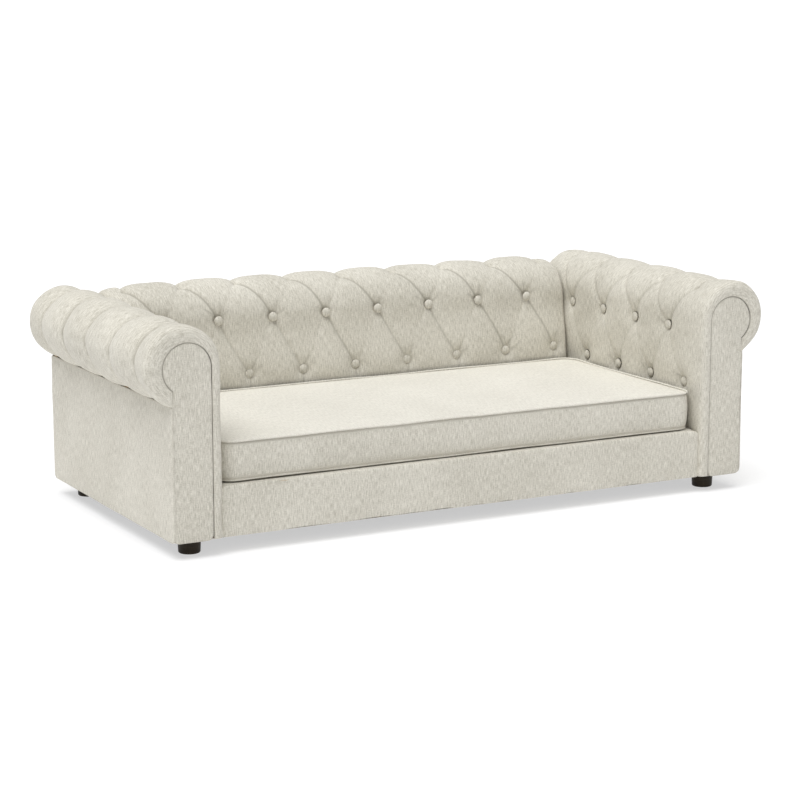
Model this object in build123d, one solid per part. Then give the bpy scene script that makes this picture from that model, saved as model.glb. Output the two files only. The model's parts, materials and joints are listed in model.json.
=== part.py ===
"""Dog sofa bed: a low sofa with rolled, button-tufted arms and back, and a loose boxed cushion.

The origin is on the floor under the middle of the footprint, +X runs along the width,
+Y runs to the back and +Z runs up. Lengths are in millimetres.
"""
import os
from dataclasses import dataclass
from math import acos, cos, degrees, radians, sin, sqrt

from build123d import *

# Outside sizes of the whole bed
width = 1220.0
depth = 610.0
foot_height = 30.0
foot_diameter = 40.0

# Arms: the body of the slab, then the roll that overhangs outward
arm_thickness = 90.0
arm_roll_radius = 67.0
arm_top = 388.0

# Back: measured rearward from the plane of its padded crowns
back_thickness = 116.0
back_roll_radius = 72.0
back_roll_reach = 88.0
back_top = 380.0

# Seat height and the loose cushion
deck_top = 115.0
rail_setback = 8.0
cushion_setback = 25.0
cushion_rear_space = 12.0
cushion_side_space = 6.0
cushion_height = 65.0
cushion_crown = 7.0
cushion_underside_crown = 2.8
cushion_edge_crown = 0.3
cushion_corner_radius = 38.0
cushion_draw = 3.0
welt_radius = 2.0

# Tufting: pitch of the diamonds, the two rows below the top, and how far the buttons pull in
tuft_pitch = 110.0
tuft_steps = 3
arm_first_tuft = 70.0
arm_low_row_down = 191.0
arm_up_row_down = 92.0
arm_button_sink = 12.0
arm_valley = 9.5
back_low_row_down = 170.0
back_up_row_down = 69.0
back_button_sink = 20.0
back_valley = 11.0
back_lean = 13.0
back_foot_draw = 30.0
button_diameter = 17.5
button_dome = 4.0
button_cone = 5.6
tie_radius = 0.8
tie_hole_clearance = 0.4
anchor_radius = 5.0
anchor_thickness = 1.5

# Sheet and board thicknesses
cover_thickness = 2.0
cloth_thickness = 1.2
dust_cover_thickness = 0.8
facing_thickness = 3.0
skin_setback = 1.0
outside_panel_thickness = 3.5
hardboard = 3.0
deck_board = 5.0
rib_thickness = 15.0
rail_thickness = 18.0
side_rail_thickness = 22.0
base_board_thickness = 24.0
bearer_height = 45.0
corner_block_leg = 45.0
corner_block_height = 40.0

# Padding over the boards: at the flat face, and over the top of the roll
arm_face_pad = 17.5
arm_top_pad = 28.0
arm_board_radius = 43.0
back_face_pad = 39.5
back_top_pad = 23.0
back_board_radius = 41.0

# Rounded ends of the padding
lip_depth = 12.0
arm_lip_inset = 11.0
arm_rear_inset = 8.0
arm_rear_drop = 10.0
back_edge_draw = 8.0
back_end_inset = 8.0
back_end_draw = 13.0
back_end_drop = 8.0

# Rounded corners of the flat pieces
panel_corner_radius = 12.0
rail_corner_radius = 14.0
rail_edge_radius = 0.9
foot_edge_radius = 2.5

# Feet and fasteners
foot_reach = 41.0
foot_front_inset = 52.0
foot_rear_inset = 45.0
foot_taper = 1.4
foot_bore_depth = 19.0
bolt_radius = 4.0
tee_nut_barrel_radius = 5.2
tee_nut_barrel_length = 12.0
tee_nut_flange_radius = 9.0
tee_nut_flange = 1.5
bolt_end_play = 2.0
arm_bolt_head_radius = 7.5
arm_bolt_head = 4.0
arm_bolt_height = 43.0
arm_bolt_grip = 20.0
arm_bolt_inset = 150.0
screw_radius = 2.0
screw_head_radius = 3.8
screw_head = 2.4
screw_length = 45.0
screw_edge = 16.0

# Zip on the cushion's rear edge
zip_length = 520.0
zip_tape_width = 24.0
zip_tape_thickness = 1.0
zip_coil_width = 5.0
zip_coil_thickness = 1.6
zip_end_margin = 10.0
slider_length = 12.0
slider_width = 11.0
slider_roof = 1.2
slider_lug = 1.0
slider_lug_length = 3.0
slider_lug_height = 3.1
slider_pin_height = 1.8
slider_pin_radius = 0.7
pull_eye_radius = 1.35
pull_thickness = 1.0
pull_width = 6.0
pull_length = 10.0
pull_plate_start = 2.4
pull_corner_radius = 1.5

# Clearances
seam_gap = 0.3
pocket_gap = 0.5
base_gap = 0.6
back_side_gap = 1.6
under_roll_gap = 0.6
running_gap = 0.1
cut_overrun = 5.0

# Shares that give the soft outlines their bulge and the roll its creases
bulge_share = 0.3
bulge_proud = 0.3
crease_angle_shares = ((180, 0.5), (166, 0.7), (135, 0.9), (112.5, 1), (90, 1), (67.5, 1),
                       (45, 0.9), (22.5, 0.8), (0, 0.7))
neck_crease_share = 0.3
arm_rib_bay_shares = (1.25, 2.75)
back_rib_bay_share = 1.25

# Places that follow from the sizes above
front = -depth / 2
inner_half = width / 2 - 2 * arm_roll_radius
base_half = inner_half - base_gap
back_crown = depth / 2 - back_roll_reach - back_roll_radius
body_rear = back_crown + back_thickness
back_half = inner_half - back_side_gap
body_bottom = foot_height
board_bottom = body_bottom + dust_cover_thickness + seam_gap
deck_board_top = deck_top - cloth_thickness
rail_top = deck_board_top - deck_board
rail_front = front + rail_setback
cushion_front = front + cushion_setback
cushion_rear = back_crown - cushion_rear_space
cushion_half = inner_half - cushion_side_space - welt_radius * (1 + sqrt(0.5))
welt_offset = welt_radius * sqrt(0.5)
welt_lift = welt_offset + cushion_edge_crown + seam_gap
cushion_bottom = deck_top + seam_gap + welt_lift + welt_radius
cushion_top = cushion_bottom + cushion_height
button_radius = button_diameter / 2
foot_centre_x = inner_half + foot_reach
back_bays = 2 * int((back_half - lip_depth - button_radius) / tuft_pitch)
arm_bays = 1 + int((back_crown - front - arm_first_tuft) / tuft_pitch)


@dataclass
class Roll:
    """One padded slab with a roll along its top; u runs from the seat side outward."""
    body: float
    radius: float
    reach: float
    top: float
    face_pad: float
    top_pad: float
    board_radius: float
    foot: float
    foot_draw: float
    lean: float
    low_row: float
    up_row: float
    sink: float
    valley: float

    @property
    def centre(self):
        return self.reach, self.top - self.radius

    @property
    def board_centre(self):
        return self.face_pad + self.board_radius, self.top - self.top_pad - self.board_radius

    @property
    def neck(self):
        return self.body - outside_panel_thickness - seam_gap


arm = Roll(arm_thickness, arm_roll_radius, arm_roll_radius, arm_top, arm_face_pad, arm_top_pad,
           arm_board_radius, board_bottom, 0, 0, arm_top - arm_low_row_down,
           arm_top - arm_up_row_down, arm_button_sink, arm_valley)
back = Roll(back_thickness, back_roll_radius, back_roll_reach, back_top, back_face_pad, back_top_pad,
            back_board_radius, deck_top + seam_gap, back_foot_draw, back_lean,
            back_top - back_low_row_down, back_top - back_up_row_down, back_button_sink, back_valley)


@dataclass
class Section:
    """What the padding does at one place along a slab: pulled in at a row, creased over the top."""
    low: float = 0
    up: float = 0
    valley: float = 0
    inset: float = 0
    draw: float = 0


def save(name, *solids):
    """Write one sub-part; identical pieces go in one file as separate solids."""
    shape = solids[0] if len(solids) == 1 else Compound(children=list(solids))
    export_step(shape, os.path.join("parts", name + ".step"))


def block(x0, x1, y0, y1, z0, z1):
    """A plain board given by its faces."""
    middle = Pos((x0 + x1) / 2, (y0 + y1) / 2, (z0 + z1) / 2)
    return middle * Box(abs(x1 - x0), abs(y1 - y0), abs(z1 - z0))


def rod(start, end, radius):
    """A round bar from one point to another."""
    a, b = Vector(*start), Vector(*end)
    return Solid.make_cylinder(radius, (b - a).length, Plane(origin=a, z_dir=b - a))


def mirrored(shape):
    """The same piece on the left arm."""
    return mirror(shape, about=Plane.YZ)


def on_circle(centre, radius, angle):
    return centre[0] + radius * cos(radians(angle)), centre[1] + radius * sin(radians(angle))


def neck_angle(centre, radius, neck):
    """Angle at which a roll's circle meets the outer face of the slab, below its middle."""
    return -degrees(acos((neck - centre[0]) / radius))


def padded_points(roll, section):
    """The padding's outer line from its foot, over the roll, to the neck."""
    face = section.inset + section.draw
    foot_u = roll.foot_draw + section.inset
    low_u = section.low + face
    up_u = roll.lean + section.up + face

    def between(a, b):
        return min(a, b) + bulge_share * abs(a - b) - bulge_proud

    points = [(foot_u, roll.foot), (between(foot_u, low_u), (roll.foot + roll.low_row) / 2),
              (low_u, roll.low_row), (between(low_u, up_u), (roll.low_row + roll.up_row) / 2),
              (up_u, roll.up_row)]
    radius = roll.radius - section.inset
    for angle, share in crease_angle_shares[1:]:
        points.append(on_circle(roll.centre, radius - section.valley * share, angle))
    end = neck_angle(roll.centre, radius, roll.neck)
    points.append(on_circle(roll.centre, radius - section.valley * neck_crease_share, end / 2))
    points.append(on_circle(roll.centre, radius, end))
    return points


def arcs_through(points):
    return [ThreePointArc(*points[k:k + 3]) for k in range(0, len(points) - 2, 2)]


def board_edges(roll, under):
    """The line of the boards that the padding lies on, from its foot to the neck."""
    centre, radius = roll.board_centre, roll.board_radius - under
    end = neck_angle(centre, radius, roll.neck)
    face = roll.face_pad + under
    edges = [Line((face, roll.foot), (face, centre[1]))]
    for start, stop in ((180, 90), (90, 0), (0, end)):
        trio = [on_circle(centre, radius, angle) for angle in (start, (start + stop) / 2, stop)]
        edges.append(ThreePointArc(*trio))
    return edges, (face, roll.foot), on_circle(centre, radius, end)


def pad_face(roll, section):
    """Cut through the upholstery, from its outside down to the boards."""
    outer = padded_points(roll, section)
    edges, foot, end = board_edges(roll, -seam_gap)
    return make_face(arcs_through(outer) + [Line(outer[-1], end)] + edges + [Line(foot, outer[0])])


def arm_plane(y):
    return Plane(origin=(inner_half, y, 0), x_dir=(1, 0, 0), z_dir=(0, -1, 0))


def back_plane(x):
    return Plane(origin=(x, back_crown, 0), x_dir=(0, 1, 0), z_dir=(1, 0, 0))


def tuft(roll, row):
    """The section at a button of the low row, at one of the up row, or at neither."""
    return {"low": Section(low=roll.sink, valley=roll.valley), "up": Section(up=roll.sink),
            "crease": Section(valley=roll.valley), "plain": Section()}[row]


def lip(sizes, start):
    """Sections that round off one end of the padding, beyond the full one, to the smallest."""
    inset, draw, drop = sizes
    easing = 1 - sqrt(0.5)
    half_way = Section(valley=start.valley + (drop - start.valley) * easing, inset=inset * easing,
                       draw=start.draw + (draw - start.draw) * easing)
    return [(lip_depth * sqrt(0.5), half_way), (lip_depth, Section(valley=drop, inset=inset, draw=draw))]


def between_tufts(a, b, share):
    """The section part of the way from one to the next: each crease fades along a quarter wave."""
    from_a, from_b = 1 - sin(radians(90 * share)), 1 - sin(radians(90 * (1 - share)))
    return Section(*[getattr(a, name) * from_a + getattr(b, name) * from_b
                     for name in ("low", "up", "valley", "inset", "draw")])


def padded_slab(roll, plane_at, stations, lips):
    """Upholstery of one slab: a ruled loft through its tufts, closed by a rounded lip at each end."""
    places = []
    for (place, section), (following, target) in zip(stations, stations[1:]):
        for step in range(tuft_steps):
            share = step / tuft_steps
            places.append((place + (following - place) * share, between_tufts(section, target, share)))
    places.append(stations[-1])
    before = [(stations[0][0] - out, section) for out, section in lip(lips[0], stations[0][1])]
    after = [(stations[-1][0] + out, section) for out, section in lip(lips[1], stations[-1][1])]
    return loft([plane_at(place) * pad_face(roll, section)
                 for place, section in before[::-1] + places + after], ruled=True)


def button_solid(gap=0):
    """A covered button, or the pocket for it: a domed top over a cone that beds in the pleats."""
    rim, dome, cone = button_radius + gap, button_dome + gap, button_cone + gap
    dome_radius = (rim ** 2 + dome ** 2) / (2 * dome)
    centre = (0, dome - dome_radius)
    lean = degrees(acos(rim / dome_radius))
    half = [Line((0, -cone), (rim, 0)),
            ThreePointArc((rim, 0), on_circle(centre, dome_radius, (90 + lean) / 2), (0, dome)),
            Line((0, dome), (0, -cone))]
    return revolve(Plane.XZ * make_face(half), axis=Axis.Z)


def button_places(roll, row, sites, plane_at):
    """Frames at a row's pits, each looking back towards the seat."""
    height = roll.low_row if row == "low" else roll.up_row
    depth_in = roll.sink + (0 if row == "low" else roll.lean)
    return [(plane_at(site), depth_in, height) for site in sites]


def seated(shape, places):
    """Copies of a button, or of its pocket, set into the pits."""
    made = []
    for plane, sink, height in places:
        rim = plane.from_local_coords((sink - seam_gap - button_cone, height, 0))
        made.append(Plane(origin=rim, z_dir=-plane.x_dir) * shape)
    return made


def ties(places, roll):
    """Twine from each button through the padding, knotted round a washer behind the board."""
    made = []
    for plane, sink, height in places:
        board_back = roll.face_pad + hardboard
        start = plane.from_local_coords((sink - seam_gap, height, 0))
        middle = plane.from_local_coords((board_back, height, 0))
        end = plane.from_local_coords((board_back + anchor_thickness, height, 0))
        made.append(rod(start, end, tie_radius).fuse(rod(middle, end, anchor_radius)))
    return made


def tie_holes(places, roll):
    made = []
    for plane, sink, height in places:
        start = plane.from_local_coords((roll.face_pad - cut_overrun, height, 0))
        end = plane.from_local_coords((roll.face_pad + hardboard + cut_overrun, height, 0))
        made.append(rod(start, end, tie_radius + tie_hole_clearance))
    return made


def keyhole_face(roll, gap, bottom, inner, outer):
    """A slab's end shape: straight sides and a round head that follows the boards' roll."""
    centre, radius = roll.board_centre, roll.board_radius - gap
    end = neck_angle(centre, radius, outer)
    left, right = on_circle(centre, radius, 180), on_circle(centre, radius, end)
    edges = [Line((inner, bottom), left)] if abs(inner - left[0]) < seam_gap else [
        Polyline((inner, bottom), (inner, left[1]), left)]
    for start, stop in ((180, 90), (90, 0), (0, end)):
        trio = [on_circle(centre, radius, angle) for angle in (start, (start + stop) / 2, stop)]
        edges.append(ThreePointArc(*trio))
    edges.append(Polyline(right, (outer, bottom), (inner, bottom)))
    return make_face(edges)


def plate(plane, face, thickness):
    """A flat piece that starts on a plane and grows along +X or +Y."""
    forward = plane.z_dir.X + plane.z_dir.Y
    return extrude(plane * face, amount=thickness * (1 if forward > 0 else -1))


def roll_board(roll, plane_at, start, stop):
    """Thin board bent over the heads of the ribs."""
    centre = roll.board_centre
    rings = []
    for radius in (roll.board_radius, roll.board_radius - hardboard):
        end = neck_angle(centre, radius, roll.neck)
        ring = []
        for a, b in ((180, 90), (90, 0), (0, end)):
            ring.append(ThreePointArc(*[on_circle(centre, radius, t) for t in (a, (a + b) / 2, b)]))
        rings.append((ring, on_circle(centre, radius, 180), on_circle(centre, radius, end)))
    (outer, top_left, top_end), (inner, low_left, low_end) = rings
    face = make_face(outer + inner + [Line(top_left, low_left), Line(top_end, low_end)])
    return plate(plane_at(start), face, stop - start)


def base():
    """The box under the cushion: rails, bearers, blocks, deck and their cloths."""
    inner_rail = rail_front + cloth_thickness + seam_gap
    deck_rear = back_crown + back.face_pad - seam_gap
    rail_rear = inner_rail + rail_thickness
    rear_rail_front = deck_rear - rail_thickness
    cloth_half = base_half - rail_corner_radius
    side_x = base_half - side_rail_thickness / 2
    heights = (board_bottom + screw_edge, rail_top - screw_edge)

    screws, holes = [], []
    for x in (-side_x, side_x):
        for z in heights:
            for y, way in ((inner_rail, 1), (deck_rear, -1)):
                head = rod((x, y, z), (x, y + way * screw_head, z), screw_head_radius)
                shank = rod((x, y, z), (x, y + way * screw_length, z), screw_radius)
                screws.append(head.fuse(shank))
                start, seat = y - way * cut_overrun, y + way * (screw_head + running_gap)
                bore = rod((x, start, z), (x, seat, z), screw_head_radius + running_gap)
                tip = y + way * (screw_length + running_gap)
                holes.append(bore.fuse(rod((x, start, z), (x, tip, z), screw_radius + running_gap)))

    front_rail = block(-base_half + cloth_thickness, base_half - cloth_thickness, inner_rail,
                       rail_rear, board_bottom, rail_top)
    corners = front_rail.edges().filter_by(Axis.Y).group_by(Axis.Z)[-1]
    front_rail = fillet(corners, rail_corner_radius - deck_board)
    rear_rail = block(-base_half, base_half, rear_rail_front, deck_rear, board_bottom, rail_top)
    side_start, side_stop = rail_rear + running_gap, rear_rail_front - running_gap
    side = block(base_half - side_rail_thickness, base_half, side_start, side_stop, board_bottom,
                 rail_top)
    bolt_bores = []
    for start, end in arm_bolt_lines():
        bolt_bores.append(rod(start, end, bolt_radius + running_gap))
    right_side = side.cut(*holes, *bolt_bores)
    left_side = mirrored(side).cut(*holes, *[mirrored(bore) for bore in bolt_bores])
    save("front_rail", front_rail.cut(*holes))
    save("rear_rail", rear_rail.cut(*holes))
    save("right_side_rail", right_side)
    save("left_side_rail", left_side)
    save("frame_screws", *screws)

    bearer_x = tuft_pitch * back_rib_bay_share
    bearers = [block(x - rail_thickness / 2, x + rail_thickness / 2, side_start, side_stop,
                     rail_top - bearer_height, rail_top) for x in (-bearer_x, bearer_x)]
    save("cross_bearers", *bearers)

    blocks = []
    corner_x = base_half - side_rail_thickness - seam_gap
    for sx in (-1, 1):
        for y, sy in ((rail_rear + seam_gap, 1), (rear_rail_front - seam_gap, -1)):
            x = sx * corner_x
            outline = Polyline((x, y), (x - sx * corner_block_leg, y), (x, y + sy * corner_block_leg),
                               (x, y))
            low = rail_top - seam_gap - corner_block_height
            blocks.append(extrude(Pos(0, 0, low) * make_face(outline), amount=corner_block_height,
                                  dir=(0, 0, 1)))
    save("corner_blocks", *blocks)

    save("seat_deck", block(-cloth_half, cloth_half, inner_rail, deck_rear, rail_top, deck_board_top))
    save("deck_cloth", block(-cloth_half, cloth_half, rail_rear + seam_gap, deck_rear, deck_board_top,
                             deck_top))
    save("front_rail_cover", rail_cover(rail_rear))


def rail_cover(lap_rear):
    """Fabric over the front rail, lapped onto the deck, with its upper corners rounded."""
    def outline(inset, y):
        half, top, low = base_half - inset, deck_top - inset, board_bottom - inset
        shape = Pos(0, (low + top) / 2) * Rectangle(2 * half, top - low)
        upper = shape.vertices().group_by(Axis.Y)[-1]
        return Plane(origin=(0, y, 0), x_dir=(1, 0, 0), z_dir=(0, -1, 0)) * fillet(
            upper, rail_corner_radius - inset)

    outer = extrude(outline(0, rail_front), amount=-(lap_rear - rail_front))
    outer = fillet(outer.faces().sort_by(Axis.Y)[0].edges(), rail_edge_radius)
    inner = extrude(outline(cloth_thickness, rail_front + cloth_thickness),
                    amount=-(lap_rear - rail_front))
    return outer.cut(inner)


def arm_bolt_lines():
    """Centre lines of the bolts that join the right arm to the base."""
    start = base_half - side_rail_thickness - cut_overrun
    stop = inner_half + arm.face_pad + hardboard + seam_gap + arm_bolt_grip
    return [((start, y, arm_bolt_height), (stop, y, arm_bolt_height))
            for y in (front + arm_bolt_inset, body_rear - arm_bolt_inset)]


def foot_places():
    return [(name, sx * foot_centre_x, y) for name, sx, y in (
        ("front_left", -1, front + foot_front_inset), ("front_right", 1, front + foot_front_inset),
        ("rear_left", -1, body_rear - foot_rear_inset), ("rear_right", 1, body_rear - foot_rear_inset))]


def arms():
    """Both arms: ribs and boards inside, foam and tufted cover over them, facings and outside panel."""
    rear = body_rear - outside_panel_thickness - seam_gap
    board_inner = arm.face_pad + hardboard + seam_gap
    board_outer = arm.neck - seam_gap
    front_skin = front + skin_setback
    rear_skin = rear - skin_setback
    first_board = front_skin + facing_thickness + seam_gap
    last_board = rear_skin - facing_thickness - seam_gap

    lows = [front + arm_first_tuft + k * tuft_pitch for k in range(arm_bays)]
    ups = [low + tuft_pitch / 2 for low in lows]
    stations = [(y, tuft(arm, "low")) for y in lows] + [(y, tuft(arm, "up")) for y in ups]
    stations += [(front + lip_depth, tuft(arm, "plain")), (lows[-1] + tuft_pitch, tuft(arm, "crease")),
                 (rear - lip_depth, tuft(arm, "plain"))]
    stations.sort(key=lambda station: station[0])
    lips = ((arm_lip_inset, 0, 0), (arm_rear_inset, 0, arm_rear_drop))
    places = button_places(arm, "low", lows, arm_plane) + button_places(arm, "up", ups, arm_plane)
    pockets = seated(button_solid(pocket_gap), places)
    both_arms("arm_pad", padded_slab(arm, arm_plane, stations, lips).cut(*pockets))
    both_arms("arm_buttons", *seated(button_solid(), places))
    twine = ties(places, arm)
    save("arm_button_ties", *twine, *[mirrored(tie) for tie in twine])

    bores = [rod(start, end, bolt_radius + running_gap) for start, end in arm_bolt_lines()]
    panel = block(inner_half + arm.face_pad, inner_half + arm.face_pad + hardboard, first_board,
                  last_board, board_bottom, arm.board_centre[1])
    both_arms("arm_inner_panel", panel.cut(*bores, *tie_holes(places, arm)))
    both_arms("arm_roll_board", roll_board(arm, arm_plane, first_board, last_board))

    rib = keyhole_face(arm, hardboard + seam_gap, board_bottom, board_inner, board_outer)
    base_top = board_bottom + base_board_thickness
    mid_rib = keyhole_face(arm, hardboard + seam_gap, base_top + seam_gap, board_inner, board_outer)
    both_arms("arm_front_board", plate(arm_plane(first_board), rib, rib_thickness))
    both_arms("arm_rear_board", plate(arm_plane(last_board - rib_thickness), rib, rib_thickness))
    mids = [lows[0] + tuft_pitch * share - rib_thickness / 2 for share in arm_rib_bay_shares]
    both_arms("arm_mid_ribs", *[plate(arm_plane(y), mid_rib, rib_thickness) for y in mids])

    base_board = block(inner_half + board_inner, inner_half + board_outer,
                       first_board + rib_thickness + seam_gap, last_board - rib_thickness - seam_gap,
                       board_bottom, base_top)
    foot_bores = [rod((x, y, 0), (x, y, base_top + cut_overrun), tee_nut_barrel_radius + running_gap)
                  for name, x, y in foot_places() if x > 0]
    both_arms("arm_base_board", base_board.cut(*bores, *foot_bores))

    facing = keyhole_face(arm, seam_gap, body_bottom, arm.face_pad + seam_gap, board_outer)
    both_arms("arm_facing", plate(arm_plane(front_skin), facing, facing_thickness))
    both_arms("arm_rear_facing", plate(arm_plane(rear_skin - facing_thickness), facing,
                                       facing_thickness))
    both_arms("arm_outside_panel", outside_arm_panel(front_skin, rear))
    save("arm_bolts", *arm_bolts())


def both_arms(name, *solids):
    """Save a piece of the right arm, and its mirror on the left arm."""
    save("right_" + name, *solids)
    save("left_" + name, *[mirrored(solid) for solid in solids])


def under_roll(roll, u):
    """Height of the roll's underside where it meets the outer face of the slab."""
    centre_u, centre_z = roll.centre
    return centre_z - sqrt(roll.radius ** 2 - (u - centre_u) ** 2)


def outside_arm_panel(start, stop):
    top = under_roll(arm, arm.neck) - under_roll_gap
    inner, outer = inner_half + arm.body - outside_panel_thickness, inner_half + arm.body
    panel = block(inner, outer, start, stop, body_bottom, top)
    lower = panel.edges().filter_by(Axis.X).group_by(Axis.Z)[0]
    return fillet(lower, panel_corner_radius)


def arm_bolts():
    """Bolts from inside the base, through each arm's padding and into its base board."""
    made = []
    for start, end in arm_bolt_lines():
        head_start = base_half - side_rail_thickness - arm_bolt_head
        seat = base_half - side_rail_thickness
        head = rod((head_start, *start[1:]), (seat, *start[1:]), arm_bolt_head_radius)
        shank = rod((seat, *start[1:]), (end[0] - running_gap, *end[1:]), bolt_radius)
        bolt = head.fuse(shank)
        made += [bolt, mirrored(bolt)]
    return made


def back_rest():
    """The back: ribs and boards, then foam and tufted cover, and the outside panel."""
    lows = [k * tuft_pitch for k in range(-back_bays // 2, back_bays // 2 + 1)]
    ups = [low + tuft_pitch / 2 for low in lows[:-1]]
    end = back_half - lip_depth
    edge = Section(draw=back_edge_draw, valley=back_edge_draw)
    stations = [(x, tuft(back, "low")) for x in lows] + [(x, tuft(back, "up")) for x in ups]
    stations += [(-end, edge), (end, edge)]
    stations.sort(key=lambda station: station[0])
    sizes = (back_end_inset, back_end_draw, back_end_drop)
    places = button_places(back, "low", lows, back_plane) + button_places(back, "up", ups, back_plane)
    pockets = seated(button_solid(pocket_gap), places)
    save("back_pad", padded_slab(back, back_plane, stations, (sizes, sizes)).cut(*pockets))
    save("back_buttons", *seated(button_solid(), places))
    save("back_button_ties", *ties(places, back))

    face = back_crown + back.face_pad
    panel = block(-back_half, back_half, face, face + hardboard, board_bottom, back.board_centre[1])
    save("back_inner_panel", panel.cut(*tie_holes(places, back)))
    save("back_roll_board", roll_board(back, back_plane, -end, end))
    rib = keyhole_face(back, hardboard + seam_gap, board_bottom, back.face_pad + hardboard + seam_gap,
                       back.neck - seam_gap)
    end_rib = back_half - rib_thickness
    bay_rib = tuft_pitch * back_rib_bay_share - rib_thickness / 2
    starts = [-end_rib - rib_thickness, -bay_rib - rib_thickness, bay_rib, end_rib]
    save("back_ribs", *[plate(back_plane(x), rib, rib_thickness) for x in starts])

    top = under_roll(back, back.neck) - under_roll_gap
    half = inner_half + arm.body
    outside = block(-half, half, body_rear - outside_panel_thickness, body_rear, body_bottom, top)
    lower = outside.edges().filter_by(Axis.Y).group_by(Axis.Z)[0]
    save("back_outside_panel", fillet(lower, panel_corner_radius))


def feet():
    """Four turned feet, each on a bolt that screws into a tee nut in the arm's base board."""
    foot_radius = foot_diameter / 2
    low_radius = foot_radius - foot_taper
    edge = foot_edge_radius
    profile = [Line((0, 0), (low_radius - edge, 0)),
               ThreePointArc((low_radius - edge, 0),
                             (low_radius - edge * (1 - sqrt(0.5)), edge * (1 - sqrt(0.5))),
                             (low_radius, edge)),
               Polyline((low_radius, edge), (foot_radius, foot_height), (0, foot_height), (0, 0))]
    blank = revolve(Plane.XZ * make_face(profile), axis=Axis.Z)
    base_top = board_bottom + base_board_thickness
    bolts, nuts, holes = [], [], []
    for name, x, y in foot_places():
        bore = rod((x, y, foot_height - foot_bore_depth), (x, y, base_top + cut_overrun),
                   bolt_radius + running_gap)
        save(name + "_foot", (Pos(x, y, 0) * blank).cut(bore))
        low, high = foot_height - foot_bore_depth + running_gap, base_top + tee_nut_flange
        bolts.append(rod((x, y, low), (x, y, high + bolt_end_play), bolt_radius))
        barrel = rod((x, y, base_top - tee_nut_barrel_length), (x, y, base_top), tee_nut_barrel_radius)
        flange = rod((x, y, base_top), (x, y, high), tee_nut_flange_radius)
        nuts.append(barrel.fuse(flange).cut(bore))
        holes.append(bore)
    save("foot_bolts", *bolts)
    save("tee_nuts", *nuts)

    half = inner_half + arm.neck - seam_gap
    y_front = rail_front + cloth_thickness + seam_gap
    y_rear = body_rear - outside_panel_thickness - 2 * seam_gap - skin_setback - facing_thickness
    sheet = block(-half, half, y_front, y_rear, body_bottom, body_bottom + dust_cover_thickness)
    save("dust_cover", sheet.cut(*holes))


def cushion_plan(grow):
    """Outline from above: rounded corners, the front and the ends drawn in at their middles."""
    x, y0, y1 = cushion_half + grow, cushion_front - grow, cushion_rear + grow
    mid_y, draw = (y0 + y1) / 2, cushion_draw
    outline = make_face([ThreePointArc((-x, y0), (0, y0 + draw), (x, y0)),
                         ThreePointArc((x, y0), (x - draw, mid_y), (x, y1)),
                         Line((x, y1), (-x, y1)),
                         ThreePointArc((-x, y1), (draw - x, mid_y), (-x, y0))])
    return fillet(outline.vertices(), cushion_corner_radius + grow)


def cushion_form(under):
    """The stuffed shape at a depth under its outside: crowned above, a little below."""
    y0, y1 = cushion_front - cut_overrun, cushion_rear + cut_overrun
    low, high, mid = cushion_bottom + under, cushion_top - under, (y0 + y1) / 2
    cuts = []
    for x, rise, sag in ((-cushion_half - cut_overrun, cushion_edge_crown, cushion_edge_crown),
                         (0, cushion_crown, cushion_underside_crown),
                         (cushion_half + cut_overrun, cushion_edge_crown, cushion_edge_crown)):
        edges = [ThreePointArc((y0, low), (mid, low - sag), (y1, low)), Line((y1, low), (y1, high)),
                 ThreePointArc((y1, high), (mid, high + rise), (y0, high)), Line((y0, high), (y0, low))]
        cuts.append(Plane(origin=(x, 0, 0), x_dir=(0, 1, 0), z_dir=(1, 0, 0)) * make_face(edges))
    column = extrude(Pos(0, 0, cushion_bottom - cut_overrun) * cushion_plan(-under),
                     amount=cushion_height + cushion_crown + 2 * cut_overrun)
    return column.intersect(loft(cuts)).solid()


def cushion():
    """The loose seat cushion: fabric cover, foam core, piping round both edges, and its zip."""
    core_depth = cover_thickness + seam_gap
    save("cushion_cover", cushion_form(0).cut(cushion_form(cover_thickness)))
    save("cushion_core", cushion_form(core_depth))
    for name, z in (("top_welt", cushion_top + welt_lift), ("bottom_welt", cushion_bottom - welt_lift)):
        line = (Pos(0, 0, z) * cushion_plan(welt_offset)).face().outer_wire()
        save(name, sweep(Plane(origin=line @ 0, z_dir=line % 0) * Circle(welt_radius), path=line))


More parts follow.
